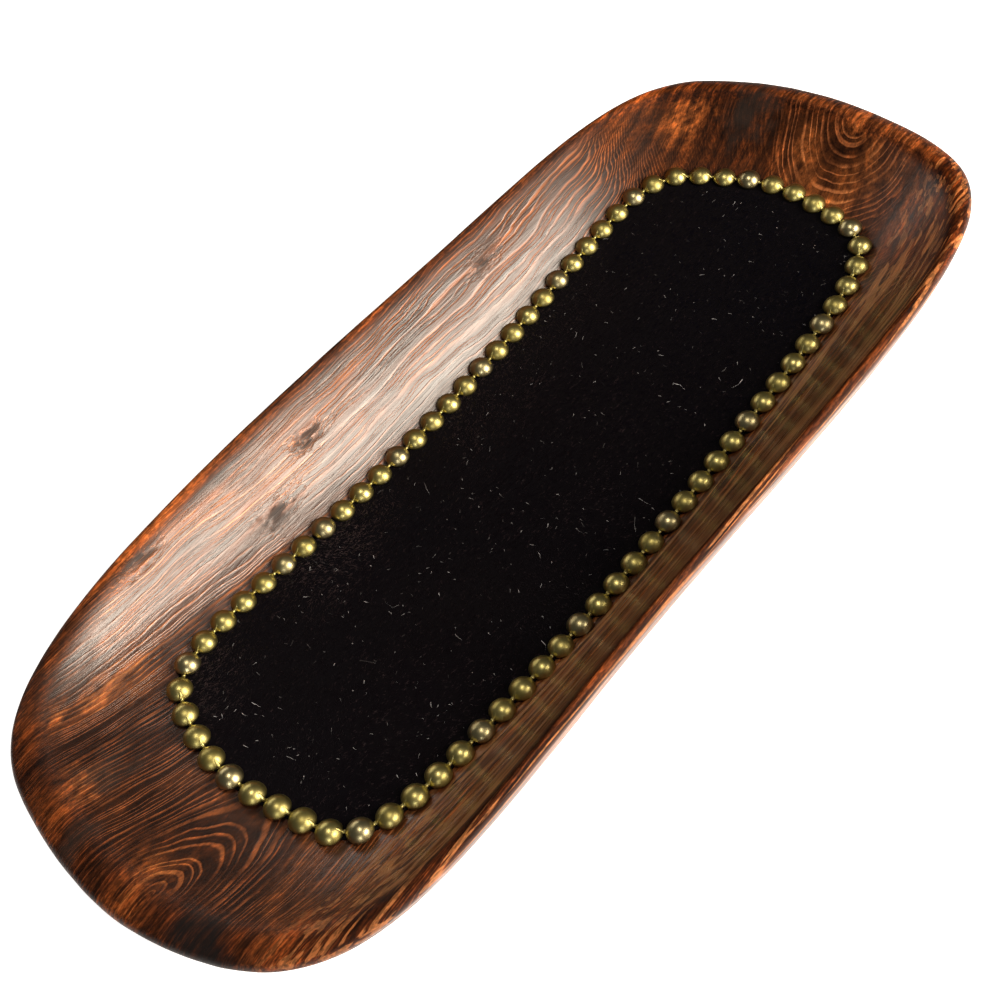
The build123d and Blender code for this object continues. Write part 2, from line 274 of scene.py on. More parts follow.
# ==== Form ====
def outline(shape, turns, half=None):
    """Plan points of an outline at many angles."""
    c, s = np.cos(turns), np.sin(turns)
    power = shape["squareness"]
    radius = (np.abs(c) ** power + np.abs(s) ** power) ** (-1 / power)
    wander = sum(a * np.cos(k * turns) + b * np.sin(k * turns)
                 for k, (a, b) in enumerate(shape["waves"], start=1))
    radius = radius * np.exp(wander)
    half_x, half_y = half or shape["half"]
    return shape["centre"][0] + half_x * radius * c, shape["centre"][1] + half_y * radius * s


def lip_height(x):
    """Height of the lip, which dips towards both ends."""
    return LIP_HEIGHT - LIP_DIP * (x / RIM["half"][0]) ** 2


def floor_height(x, y):
    """Height of the hollow's floor, which rises towards the ends and a little towards the sides."""
    along = (x - LOOP["centre"][0]) / LOOP["half"][0]
    across = (y - LOOP["centre"][1]) / LOOP["half"][1]
    return (FLOOR_THICKNESS + END_RISE * along ** 2 - END_TILT * along * np.abs(along)
            + SIDE_RISE * across ** 2)


def wall_ring(turns, share, lift=0.0):
    """Ring on the inner wall: share 0 is the trim's loop, share 1 is the lip."""
    x0, y0 = outline(LOOP, turns)
    x1, y1 = outline(RIM, turns, (RIM["half"][0] - LIP_INSET[0], RIM["half"][1] - LIP_INSET[1]))
    start, end = floor_height(x0, y0), lip_height(x1)
    climb = WALL_START_SLOPE * share + (1 - WALL_START_SLOPE) * share ** WALL_CURL
    height = start + (end - start) * climb + lift
    return np.column_stack((x0 + (x1 - x0) * share, y0 + (y1 - y0) * share, height))


def floor_ring(turns, share, lift=0.0):
    """Ring on the floor: share 1 is the trim's loop, share 0 is the loop's centre."""
    x, y = outline(LOOP, turns)
    x = LOOP["centre"][0] + (x - LOOP["centre"][0]) * share
    y = LOOP["centre"][1] + (y - LOOP["centre"][1]) * share
    return np.column_stack((x, y, floor_height(x, y) + lift))


def trim_loop(turns):
    """Line on the floor that the heads sit on, round the lining."""
    return floor_ring(turns, 1.0)


def rim_ring(turns, angle):
    """Ring on the rounded rim: angle 0 is the widest line, a quarter turn is the lip."""
    inset, drop = 1 - math.cos(angle), 1 - math.sin(angle)
    half = (RIM["half"][0] - LIP_INSET[0] * inset, RIM["half"][1] - LIP_INSET[1] * inset)
    x, y = outline(RIM, turns, half)
    return np.column_stack((x, y, lip_height(x) - RIM_DROP * drop))


def widest_line(turns):
    """Line round the tray where it is widest."""
    return rim_ring(turns, 0.0)


def outer_ring(turns, out_share, up_share):
    """Ring on the outer wall between the foot (0, 0) and the widest line (1, 1)."""
    half = [foot + (size - foot) * out_share for foot, size in zip(FOOT_HALF, RIM["half"])]
    x, y = outline(RIM, turns, tuple(half))
    return np.column_stack((x, y, (lip_height(x) - RIM_DROP) * up_share))


def frame_shift():
    """Move from the outlines' own centre to the CAD model's origin, in millimetres."""
    low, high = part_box("tray_body")
    x, y = outline(RIM, np.linspace(0, FULL_TURN, OUTLINE_SAMPLES))
    centre = (low + high) / 2 / MM
    return np.array((centre.x - (x.min() + x.max()) / 2, centre.y - (y.min() + y.max()) / 2, 0.0))


SHIFT = frame_shift()


def even_turns(count, line=widest_line, start=0.0):
    """Angles spaced evenly along a closed line's length."""
    turns = FULL_TURN * (start + np.linspace(0, 1, PATH_SAMPLES))
    points = line(turns)
    length = np.concatenate(([0.0], np.cumsum(np.linalg.norm(np.diff(points, axis=0), axis=1))))
    return np.interp(np.arange(count) * length[-1] / count, length, turns)


def catmull_rom(points, steps):
    """Smooth path through points, with so many steps between two of them."""
    p = np.array(points, float)
    p = np.vstack((2 * p[0] - p[1], p, 2 * p[-1] - p[-2]))
    path = []
    for i in range(1, len(p) - 2):
        for t in np.arange(steps) / steps:
            path.append(0.5 * (2 * p[i] + (p[i + 1] - p[i - 1]) * t
                               + (2 * p[i - 1] - 5 * p[i] + 4 * p[i + 1] - p[i + 2]) * t ** 2
                               + (3 * p[i] - p[i - 1] - 3 * p[i + 1] + p[i + 2]) * t ** 3))
    return path + [p[-2]]


# ==== Mesh helpers ====
def make_object(name, points, faces, material):
    """Smooth-shaded mesh object from points in metres."""
    mesh = bpy.data.meshes.new(name)
    mesh.from_pydata([tuple(p) for p in points], [], faces)
    mesh.validate()
    mesh.polygons.foreach_set("use_smooth", [True] * len(mesh.polygons))
    mesh.materials.append(material)
    mesh.update()
    piece = bpy.data.objects.new(name, mesh)
    bpy.context.scene.collection.objects.link(piece)
    return piece


def ring_faces(rings, count):
    """Quads between rings of the same count, each ring closed."""
    step = np.arange(count)
    following = (step + 1) % count
    faces = []
    for ring in range(rings - 1):
        low, high = ring * count, (ring + 1) * count
        faces.extend(zip((low + step).tolist(), (low + following).tolist(),
                         (high + following).tolist(), (high + step).tolist()))
    return faces


def fan_faces(centre, ring_start, count, flip=False):
    """Triangles from a centre point to a closed ring."""
    faces = [(centre, ring_start + i, ring_start + (i + 1) % count) for i in range(count)]
    return [face[::-1] for face in faces] if flip else faces


def join_meshes(parts):
    """One list of points and one of faces from several (points, faces) pairs."""
    points, faces, base = [], [], 0
    for part_points, part_faces in parts:
        points.append(np.asarray(part_points, float))
        faces.extend(tuple(base + i for i in face) for face in part_faces)
        base += len(part_points)
    return np.vstack(points), faces


# ==== Material helpers ====
class Shader:
    """Short ways to add and join the nodes of one material."""

    def __init__(self, name):
        self.material = bpy.data.materials.new(name)
        self.material.use_nodes = True
        self.tree = self.material.node_tree
        self.bsdf = self.tree.nodes["Principled BSDF"]
        self.coords = self.tree.nodes.new("ShaderNodeTexCoord").outputs["Object"]

    def put(self, socket, value):
        """Link a socket to a value's output, or set it to a plain value."""
        if isinstance(value, bpy.types.NodeSocket):
            self.tree.links.new(value, socket)
        else:
            socket.default_value = value

    def surface(self, **values):
        """Set the material's inputs by name, with underscores for spaces."""
        for name, value in values.items():
            self.put(self.bsdf.inputs[name.replace("_", " ")], value)

    def axes(self):
        """The object's own X, Y and Z."""
        node = self.tree.nodes.new("ShaderNodeSeparateXYZ")
        self.put(node.inputs[0], self.coords)
        return tuple(node.outputs)

    def math(self, operation, *values):
        node = self.tree.nodes.new("ShaderNodeMath")
        node.operation = operation
        for socket, value in zip(node.inputs, values):
            self.put(socket, value)
        return node.outputs[0]

    def times(self, value, factor):
        return self.math("MULTIPLY", value, factor)

    def plus(self, base, value, factor):
        """The base, plus the value times the factor."""
        return self.math("MULTIPLY_ADD", value, factor, base)

    def weaker(self, value, mask, share):
        """The value, less this share of it where the mask is one."""
        return self.times(value, self.plus(1.0, mask, -share))

    def step(self, value, low, high, to_low=0.0, to_high=1.0):
        """Smooth step of a value from one range to another."""
        node = self.tree.nodes.new("ShaderNodeMapRange")
        node.interpolation_type = "SMOOTHSTEP"
        for name, given in zip(("Value", "From Min", "From Max", "To Min", "To Max"),
                               (value, low, high, to_low, to_high)):
            self.put(node.inputs[name], given)
        return node.outputs["Result"]

    def fade(self, value, low, high):
        """Smooth step from one down to nothing."""
        return self.step(value, low, high, 1.0, 0.0)

    def scaled(self, scale, offset=(0, 0, 0)):
        """The object's own coordinates, with a scale for each axis."""
        node = self.tree.nodes.new("ShaderNodeMapping")
        self.put(node.inputs["Vector"], self.coords)
        node.inputs["Scale"].default_value = scale
        node.inputs["Location"].default_value = offset
        return node.outputs["Vector"]

    def noise(self, scale, detail=3.0, roughness=0.5, offset=(0, 0, 0), distortion=0.0):
        """Noise over the object's own coordinates, with a scale for each axis, from 0 to 1."""
        node = self.tree.nodes.new("ShaderNodeTexNoise")
        self.put(node.inputs["Vector"], self.scaled(scale, offset))
        node.inputs["Scale"].default_value = 1.0
        node.inputs["Detail"].default_value = detail
        node.inputs["Roughness"].default_value = roughness
        node.inputs["Distortion"].default_value = distortion
        return node.outputs["Fac"]

    def noise_of(self, value, scale):
        """Noise along one number."""
        node = self.tree.nodes.new("ShaderNodeTexNoise")
        node.noise_dimensions = "1D"
        self.put(node.inputs["W"], value)
        node.inputs["Scale"].default_value = scale
        node.inputs["Detail"].default_value = 2.0
        return node.outputs["Fac"]

    def distance_to(self, place, stretch):
        """Distance from a place, with each axis weighed by its stretch."""
        node = self.tree.nodes.new("ShaderNodeVectorMath")
        node.operation = "DISTANCE"
        self.put(node.inputs[0], self.scaled(stretch))
        node.inputs[1].default_value = [p * k for p, k in zip(place, stretch)]
        return node.outputs["Value"]

    def spots(self, places, ragged_scale, ragged):
        """One inside any of the places, each with its size, and nothing outside, with ragged edges."""
        edge = self.plus(-ragged / 2, self.noise(ragged_scale), ragged)
        inside = 0.0
        for place, size in places:
            reach = self.math("DIVIDE", self.distance_to(place, SPOT_STRETCH), size)
            spot = self.fade(self.math("ADD", reach, edge), *SPOT_EDGE)
            inside = self.math("MAXIMUM", inside, spot)
        return inside

    def mix(self, share, low, high, blend="MIX"):
        """A share of one colour over another."""
        node = self.tree.nodes.new("ShaderNodeMix")
        node.data_type = "RGBA"
        node.blend_type = blend
        for index, given in ((0, share), (6, low), (7, high)):
            self.put(node.inputs[index], (*given, 1.0) if isinstance(given, tuple) else given)
        return node.outputs[2]

    def tint(self, share, colour, factor):
        """The colour, multiplied by a tint where the share is one."""
        return self.mix(share, colour, self.mix(1.0, colour, factor, "MULTIPLY"))

    def bump(self, height, distance, strength):
        node = self.tree.nodes.new("ShaderNodeBump")
        self.put(node.inputs["Height"], height)
        node.inputs["Distance"].default_value = distance
        node.inputs["Strength"].default_value = strength
        return node.outputs["Normal"]


# ==== Materials ====
class WoodShader(Shader):
    """Softwood with raised year rings, burnt and stained dark walnut, rubbed through to orange in places."""

    def __init__(self):
        super().__init__("stained_wood")
        self.x, self.y, self.z = self.axes()
        self.fibre = self.noise(**FIBRE)
        self.streak = self.noise(**STREAK)
        self.patch = self.noise(**PATCH)
        self.blot = self.noise(**BLOT)
        self.knots = self.spots(KNOTS, RAGGED_KNOTS, KNOT_RAGGEDNESS)
        self.radius = self.heart_distance()
        self.find_regions()
        self.find_rings()
        self.rubbed = self.find_rubbed()
        self.smoked = self.spots(SMOKED_PLACES, RAGGED_SMOKED, SPOT_RAGGEDNESS)
        from_char = self.plus(self.distance_to(CHAR_AT, CHAR_STRETCH), self.blot, CHAR_RAGGED)
        self.char = self.fade(from_char, *CHAR_EDGE)
        colour = self.stained_by_side(self.stained())
        self.finish(self.marked(self.grained(colour)))

    def heart_distance(self):
        """Distance from the heart line, bent by the trunk's waves and pushed outwards round each knot."""
        off_y = self.math("SUBTRACT", self.y, self.plus(PITH[0], self.x, PITH_LEAN))
        off_z = self.math("SUBTRACT", self.z, PITH[1])
        squares = self.math("ADD", self.math("POWER", off_y, 2), self.math("POWER", off_z, 2))
        radius = self.math("SQRT", squares)
        for scale, detail, offset, size in TRUNK_WAVES:
            wave = self.noise(scale, detail, offset=offset)
            radius = self.math("ADD", radius, self.times(self.math("SUBTRACT", wave, 0.5), size))
        return self.plus(radius, self.knots, KNOT_PUSH)

    def find_regions(self):
        """Masks of the tray's ends, sides, rim and lip."""
        lip = self.plus(LIP_HEIGHT * MM, self.math("POWER", self.x, 2), -LIP_DIP / RIM["half"][0] ** 2 / MM)
        below_lip = self.math("SUBTRACT", lip, self.z)
        self.on_rim = self.fade(below_lip, *BELOW_RIM)
        self.on_lip = self.fade(below_lip, *BELOW_LIP)
        self.near_side = self.step(self.y, *NEAR_SIDE)
        self.far_side = self.times(self.step(self.y, *FAR_SIDE), self.step(self.x, *FAR_SIDE_ALONG))
        self.far_end = self.step(self.x, *FAR_END)
        self.off_bullseye = self.times(self.far_end, self.step(self.radius, *BULLSEYE))

    def find_rings(self):
        """Year rings: a slow dark rise, then a thin pale ridge of late wood, with fine lines between."""
        crowded = self.plus(self.radius, self.math("POWER", self.radius, 2), RING_CROWDING)
        years = self.math("DIVIDE", crowded, GROWTH_RING)
        years = self.plus(years, self.noise_of(self.radius, RING_DRIFT_SCALE), RING_DRIFT)
        years = self.times(years, self.step(self.x, *WIDER_YEARS))
        season = self.math("FRACT", years)
        ridge = self.times(self.step(season, *RIDGE_RISE), self.fade(season, *RIDGE_END))
        ridge = self.weaker(ridge, self.on_rim, RIDGE_LOST_ON_RIM)
        ridge = self.weaker(ridge, self.off_bullseye, RIDGE_LOST_AT_END)
        self.ridge = self.times(ridge, self.step(self.noise(**RING_FADE), *RIDGE_FADE))
        self.fine = self.step(self.math("FRACT", self.times(years, FINE_RINGS)), *FINE_LINE)

    def find_rubbed(self):
        """How far the stain is rubbed through: on the lip, the rim and the walls, and in patches."""
        near_wall = self.times(self.near_side, self.math("SUBTRACT", 1.0, self.on_rim))
        rubbed = self.step(self.patch, *RUBBED_PATCH)
        for region, share in ((self.on_rim, RUBBED_RIM), (self.far_side, RUBBED_FAR_SIDE),
                              (self.on_lip, RUBBED_LIP), (near_wall, RUBBED_NEAR_WALL),
                              (self.far_end, RUBBED_END)):
            rubbed = self.plus(rubbed, region, share)
        rubbed = self.math("MAXIMUM", rubbed, self.spots(RUBBED_PLACES, RAGGED_RUBBED, SPOT_RAGGEDNESS))
        return self.times(rubbed, self.step(self.streak, *RUBBED_STREAK))

    def stained(self):
        """Stain over the soft wood and the ridges, with pale and dark streaks."""
        ground = self.mix(self.step(self.patch, *BROWN_PATCH), DARK_STAIN, BROWN_STAIN)
        ground = self.mix(self.times(self.fine, FINE_BROWN), ground, BROWN_STAIN)
        ground = self.mix(self.times(self.rubbed, RUBBED_BARE), ground, WORN_WOOD)
        lines = self.mix(self.rubbed, RIDGE_WOOD, WORN_RIDGE)
        colour = self.mix(self.times(self.ridge, RIDGE_SHOWS), ground, lines)
        colour = self.tint(self.step(self.streak, *STREAK_IS_PALE), colour, PALE_STREAK)
        return self.tint(self.step(self.streak, *STREAK_IS_DARK), colour, DARK_STREAK)

    def stained_by_side(self, colour):
        """Threads on the near side, a darker near end, strokes at the far end and a speckled rim."""
        colour = self.tint(self.times(self.near_side, NEAR_SIDE_SHARE), colour, NEAR_SIDE_TINT)
        thread = self.step(self.noise(**THREAD), *THREAD_LINE)
        colour = self.mix(self.times(thread, self.near_side), colour, THREAD_WOOD)
        colour = self.tint(self.math("SUBTRACT", self.far_end, self.off_bullseye), colour, BULLSEYE_TINT)
        colour = self.tint(self.step(self.x, *NEAR_END, 0.0, NEAR_END_SHARE), colour, NEAR_END_TINT)
        strokes = self.mix(self.step(self.noise(**STROKE), *SPECK_LINE), DARK_STROKE, PALE_STROKE)
        colour = self.tint(self.times(self.off_bullseye, STROKE_SHARE), colour, strokes)
        specks = self.mix(self.step(self.noise(**SPECK), *SPECK_LINE), DARK_SPECK, PALE_SPECK)
        return self.tint(self.times(self.on_rim, SPECK_SHARE), colour, specks)

    def grained(self, colour):
        """Fine dark and pale fibres, and dark blots."""
        colour = self.tint(self.step(self.fibre, *FIBRE_IS_DARK), colour, DARK_FIBRE)
        colour = self.tint(self.step(self.fibre, *FIBRE_IS_PALE), colour, PALE_FIBRE)
        return self.tint(self.step(self.blot, *BLOT_IS_DARK), colour, DARK_BLOT)

    def marked(self, colour):
        """Knots, smoked places and the charred patch."""
        colour = self.mix(self.times(self.math("POWER", self.knots, 3.0), KNOT_DARK), colour, KNOT_WOOD)
        colour = self.mix(self.times(self.smoked, SMOKE_DARK), colour, SMOKED)
        return self.mix(self.times(self.char, CHAR_DARK), colour, CHARRED)

    def find_dull(self):
        """The rim, the knots and the ends are duller than the waxed hollow."""
        dull_knots = self.times(self.math("POWER", self.knots, 2.0), KNOT_DULL)
        dull = self.math("MAXIMUM", self.on_rim, dull_knots)
        far = self.times(self.step(self.x, *DULL_FAR), self.step(self.y, *DULL_FAR_ACROSS))
        dull = self.math("MAXIMUM", dull, far)
        return self.math("MAXIMUM", dull, self.step(self.x, *NEAR_END, 0.0, NEAR_END_DULL))

    def finish(self, colour):
        """Relief, roughness and shine."""
        dull = self.find_dull()
        height = self.plus(self.times(self.fibre, FIBRE_RELIEF), self.ridge, RIDGE_RELIEF)
        height = self.plus(height, self.fine, FINE_RELIEF)
        rough = self.step(self.math("ADD", self.fibre, self.streak), *WAX_ROUGHNESS)
        rough = self.plus(rough, self.ridge, RIDGE_SMOOTHER)
        rough = self.plus(rough, dull, DULL_ROUGHER)
        self.surface(Base_Color=colour, Roughness=rough, Normal=self.bump(height, *WOOD_BUMP),
                     Specular_IOR_Level=self.plus(WAX_SHINE, dull, DULL_SHINE_LOSS))


def pile_material():
    """Backing of the pile: black cloth, seen only between the hairs."""
    s = Shader("black_cloth")
    patch = s.noise(**CLOTH_PATCH)
    nap = s.noise(**CLOTH_NAP)
    s.surface(Base_Color=s.mix(patch, *CLOTH_TONES), Roughness=0.8, Normal=s.bump(nap, *CLOTH_BUMP),
              Specular_IOR_Level=0.05)
    return s.material


def hair_material():
    """Black hair, bluer towards +X, with a brown sheen by the far side and a few paler hairs."""
    s = Shader("black_hair")
    patch = s.noise(**HAIR_PATCH)
    tone = s.noise(**HAIR_TONE)
    x, y, _ = s.axes()
    by_far_side = s.times(s.step(y, *SHEEN_ACROSS), s.step(patch, 0.35, 0.6))
    colour = s.mix(patch, *HAIR_TONES)
    colour = s.mix(s.times(by_far_side, s.step(tone, 0.48, 0.60)), colour, BROWN_SHEEN)
    colour = s.mix(s.step(x, *BLUE_ALONG), colour, BLUE_HAIR)
    colour = s.mix(s.step(tone, 0.56, 0.68), colour, PALE_HAIR)
    s.surface(Base_Color=colour, Roughness=s.step(tone, 0.3, 0.7, 0.34, 0.5),
              Specular_IOR_Level=s.plus(0.07, by_far_side, 0.40))
    return s.material


def brass_material(name, bright, toned, roughness):
    """Plated brass with a brown toning that gathers in patches."""
    s = Shader(name)
    cloud = s.noise(**BRASS_CLOUD)
    grit = s.noise(**BRASS_GRIT)
    s.surface(Base_Color=s.mix(s.step(cloud, 0.35, 0.68), bright, toned), Metallic=1.0,
              Roughness=s.step(cloud, 0.3, 0.75, roughness, roughness + BRASS_TONED_ROUGHER),
              Normal=s.bump(grit, *BRASS_BUMP))
    return s.material


def lint_material():
    """Stray hairs and specks, from grey to nearly white."""
    s = Shader("lint")
    tone = s.noise(**LINT_TONE)
    s.surface(Base_Color=s.mix(s.step(tone, 0.35, 0.70), *LINT_TONES), Roughness=0.6)
    return s.material


def floor_material():
    """Plain white studio floor, lit evenly from within so that shadows stay faint."""
    s = Shader("pale_floor")
    s.surface(Base_Color=FLOOR_COLOUR, Roughness=0.9, Specular_IOR_Level=0.1,
              Emission_Color=WHITE, Emission_Strength=FLOOR_GLOW)
    return s.material


# ==== Tray ====
def make_tray(material):
    """Carved body: rings from the middle of the foot, up the outside, over the rim and down to the floor."""
    turns = even_turns(TRAY_COLUMNS)
    rings = [outer_ring(turns, 0, 0) * (share, share, 0) for share in FOOT_SHARES]
    rings += [outer_ring(turns, out, up) for out, up in catmull_rom(OUTER_WALL, OUTER_STEPS)[:-1]]
    rings += [rim_ring(turns, angle) for angle in np.linspace(0, LIP_TURN, RIM_STEPS)]
    rings += [wall_ring(turns, share) for share in 1 - np.linspace(WALL_TOP_GAP, 1, WALL_STEPS)]
    rings += [floor_ring(turns, share) for share in FLOOR_SHARES]
    points = carve(soften_lip(np.array(rings)))
    foot_centre = np.zeros(3) + SHIFT
    floor_centre = np.array((*LOOP["centre"], FLOOR_THICKNESS)) + SHIFT
    points = np.vstack((points, foot_centre, floor_centre)) * MM
    count = len(rings) * TRAY_COLUMNS
    faces = ring_faces(len(rings), TRAY_COLUMNS)
    faces += fan_faces(count, 0, TRAY_COLUMNS, flip=True)
    faces += fan_faces(count + 1, count - TRAY_COLUMNS, TRAY_COLUMNS)
    piece = make_object("carved_tray", points, faces, material)
    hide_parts("tray_body")
    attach(piece, "root")


def soften_lip(grid):
    """Round the lip by averaging each ring with its neighbours: a lot at the -X end, a little elsewhere."""
    first = len(FOOT_SHARES) + (len(OUTER_WALL) - 1) * OUTER_STEPS + RIM_STEPS // 2
    last = first + RIM_STEPS // 2 + LIP_REACH
    soft = np.clip((LIP_SOFT_FROM - grid[first:last, :, 0:1]) / LIP_SOFT_SPAN, LIP_SOFT_LEAST, 1)
    for _ in range(LIP_SOFTENING):
        near, far = grid[first - 1:last - 1], grid[first + 1:last + 1]
        grid[first:last] += ((near + far) / 2 - grid[first:last]) * soft
    return grid


def carve(grid):
    """Slight unevenness of hand work, always into the wood, as points in the CAD model's frame."""
    along = np.roll(grid, -1, axis=1) - np.roll(grid, 1, axis=1)
    across = np.gradient(grid, axis=0)
    normal = np.cross(along, across)
    normal /= np.maximum(np.linalg.norm(normal, axis=2, keepdims=True), 1e-9)
    cuts = [noise.fractal(Vector(p), 1.0, 2.0, CARVE_OCTAVES) for p in grid.reshape(-1, 3) / CARVE_SIZE]
    depth = np.clip(0.5 + 0.5 * np.array(cuts), 0, 1).reshape(*grid.shape[:2], 1) * CARVE_DEPTH
    depth = depth * np.clip(grid[..., 2:3] / FOOT_EDGE, 0, 1)
    return (grid - normal * depth).reshape(-1, 3) + SHIFT


# ==== Lining ====
def make_lining(material):
    """The cloth, as one sheet laid on the floor with its edge under the trim."""
    turns = even_turns(LINING_COLUMNS, trim_loop)
    rings = [wall_ring(turns, LINING_EDGE, LINING_TOP)]
    rings += [floor_ring(turns, share, LINING_TOP) for share in np.linspace(1, LINING_CENTRE, LINING_RINGS)]
    points = np.vstack(rings) + SHIFT
    waves = [noise.noise(Vector((p[0] / CLOTH_WAVE, p[1] / CLOTH_WAVE, CLOTH_WAVE_AT))) for p in points]
    points[:, 2] += [CLOTH_WAVE_SIZE * wave - CLOTH_SINK for wave in waves]
    centre = points[-LINING_COLUMNS:].mean(axis=0)
    faces = ring_faces(len(rings), LINING_COLUMNS)
    faces += fan_faces(len(points), len(points) - LINING_COLUMNS, LINING_COLUMNS)
    piece = make_object("pile_lining", np.vstack((points, centre)) * MM, faces, material)
    thicken = piece.modifiers.new("cloth", "SOLIDIFY")
    thicken.thickness = CLOTH_THICKNESS * MM
    thicken.offset = -1.0
    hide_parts("floor_lining")
    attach(piece, "root")
    return piece


def cloth_places(count, chance, reach):
    """Random places on the lining's face, even in plan, as points in millimetres before the shift."""
    (centre_x, centre_y), (half_x, half_y) = LOOP["centre"], LOOP["half"]
    x, y = outline(LOOP, np.linspace(0, FULL_TURN, LOOP_SAMPLES))
    found = []
    while len(found) < count:
        px = x.min() + (x.max() - x.min()) * chance.random(count)
        py = y.min() + (y.max() - y.min()) * chance.random(count)
        edge_x, edge_y = outline(LOOP, np.arctan2((py - centre_y) / half_y, (px - centre_x) / half_x))
        edge = np.hypot(edge_x - centre_x, edge_y - centre_y)
        inside = np.hypot(px - centre_x, py - centre_y) < reach * edge
        found.extend(zip(px[inside], py[inside]))
    px, py = np.array(found[:count]).T
    return np.column_stack((px, py, floor_height(px, py) + LINING_TOP))


def blades(roots, heading, length, rise, width, curl):
    """Flat tapering hairs in two steps, each bent by its curl, as points in metres and faces."""
    side = np.column_stack((-np.sin(heading), np.cos(heading), np.zeros(len(roots))))
    rows = []
    for step in BLADE_STEPS:
        angle = heading + curl * step
        reach = length * step
        arch = 1 + BLADE_ARCH - BLADE_ARCH * step
        spine = roots + np.column_stack((np.cos(angle) * reach * np.cos(rise),
                                         np.sin(angle) * reach * np.cos(rise), reach * np.sin(rise) * arch))
        half = (width * (1 - BLADE_TAPER * step) / 2)[:, None] * side
        rows.append(np.stack((spine - half, spine + half), axis=1))
    points = np.stack(rows, axis=1).reshape(-1, 3)
    faces = []
    for base in range(0, len(points), 2 * len(BLADE_STEPS)):
        faces += [(base, base + 1, base + 3, base + 2), (base + 2, base + 3, base + 5, base + 4)]
    return (points + SHIFT) * MM, faces


def make_hair(material):
    """The pile itself: short hairs that lie over in sweeps, as a brushed hide does."""
    chance = np.random.default_rng(HAIR_SEED)
    roots = cloth_places(HAIR_COUNT, chance, HAIR_REACH)
    places = [Vector((p[0] / HAIR_SWEEP, p[1] / HAIR_SWEEP, HAIR_SWEEP_AT)) for p in roots]
    sweep = np.array([noise.noise(place) for place in places])
    heading = HAIR_HEADING + sweep * HAIR_SWEEP_TURN + chance.normal(0, HAIR_HEADING_SPREAD, HAIR_COUNT)
    length = chance.uniform(*HAIR_LENGTH, HAIR_COUNT)
    rise = np.radians(chance.uniform(*HAIR_RISE, HAIR_COUNT))
    width = np.full(HAIR_COUNT, HAIR_WIDTH)
    curl = chance.normal(0, HAIR_CURL, HAIR_COUNT)
    piece = make_object("pile_hair", *blades(roots, heading, length, rise, width, curl), material)
    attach(piece, "root")
    return piece


def make_lint(material):
    """Pale stray hairs and specks caught in the pile."""
    chance = np.random.default_rng(LINT_SEED)
    roots = cloth_places(LINT_COUNT, chance, LINT_REACH)
    roots[:, 2] += LINT_LIFT
    heading = LINT_HEADING + chance.normal(0, LINT_HEADING_SPREAD, LINT_COUNT)
    length = LINT_LENGTH_LEAST + chance.gamma(LINT_LENGTH_SHAPE, LINT_LENGTH_SCALE, LINT_COUNT)
    long_ones = chance.choice(LINT_COUNT, LONG_LINT_COUNT, replace=False)
    length[long_ones] = chance.uniform(*LONG_LINT_LENGTH, LONG_LINT_COUNT)
    curl = chance.normal(0, LINT_CURL, LINT_COUNT)
    curl[long_ones] *= LONG_LINT_CURL
    rise = np.radians(chance.uniform(*LINT_RISE, LINT_COUNT))
    width = chance.uniform(*LINT_WIDTH, LINT_COUNT)
    piece = make_object("lint", *blades(roots, heading, length, rise, width, curl), material)
    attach(piece, "root")
    return piece


# ==== Trim and tacks ====
def head_seats():
    """Place and axes of every head, as 4 by 4 matrices in metres."""
    turns = even_turns(HEAD_COUNT, trim_loop, FIRST_HEAD)
    here = trim_loop(turns)
    along = trim_loop(turns + HEAD_NUDGE) - trim_loop(turns - HEAD_NUDGE)
    inward = floor_ring(turns, HEAD_INWARD) - here
    seats = []
    for p, a, i in zip(here, along, inward):
        x_axis = Vector(a).normalized()
        z_axis = Vector(i).cross(Vector(a)).normalized()
        if z_axis.z < 0:
            z_axis.negate()
        y_axis = z_axis.cross(x_axis)
        seats.append(seat_at((Vector(p + SHIFT) + z_axis * HEAD_LIFT) * MM, x_axis, y_axis, z_axis))
    return seats


def seat_at(place, x_axis, y_axis, z_axis):
    """A 4 by 4 matrix from a place and three axes."""
    seat = Matrix((x_axis, y_axis, z_axis)).transposed().to_4x4()
    seat.translation = place
    return seat


def revolved(profile, count):
    """Points and faces of a closed profile of (radius, height) in mm turned round Z."""
    turns = np.arange(count) * FULL_TURN / count
    points, faces, index = [], [], []
    for radius, height in profile:
        if radius < 1e-6:
            index.append([len(points)] * count)
            points.append((0.0, 0.0, height))
        else:
            index.append(list(range(len(points), len(points) + count)))
            points += [(radius * math.cos(t), radius * math.sin(t), height) for t in turns]
    for low, high in zip(index, index[1:] + index[:1]):
        for i in range(count):
            face = dict.fromkeys((low[i], low[(i + 1) % count], high[(i + 1) % count], high[i]))
            if len(face) > 2:
                faces.append(tuple(face))
    return np.array(points) * MM, faces


def ball_radius():
    """Radius of the ball that a domed head is a cap of."""
    return (HEAD_RADIUS ** 2 + HEAD_HEIGHT ** 2) / (2 * HEAD_HEIGHT)


def dome_profile():
    """Hollow domed head: a spherical cap of thin metal, outside then inside."""
    ball = ball_radius()
    sink = ball - HEAD_HEIGHT
    widest = math.asin(HEAD_RADIUS / ball)
    inner = ball - METAL
    outward, inward = np.linspace(widest, 0, OUTSIDE_STEPS), np.linspace(0, widest, INSIDE_STEPS)
    outside = [(ball * math.sin(a), ball * math.cos(a) - sink) for a in outward]
    inside = [(inner * math.sin(a), max(inner * math.cos(a) - sink, 0)) for a in inward]
    return outside[:-1] + [(0.0, HEAD_HEIGHT), (0.0, HEAD_HEIGHT - METAL)] + inside[1:]


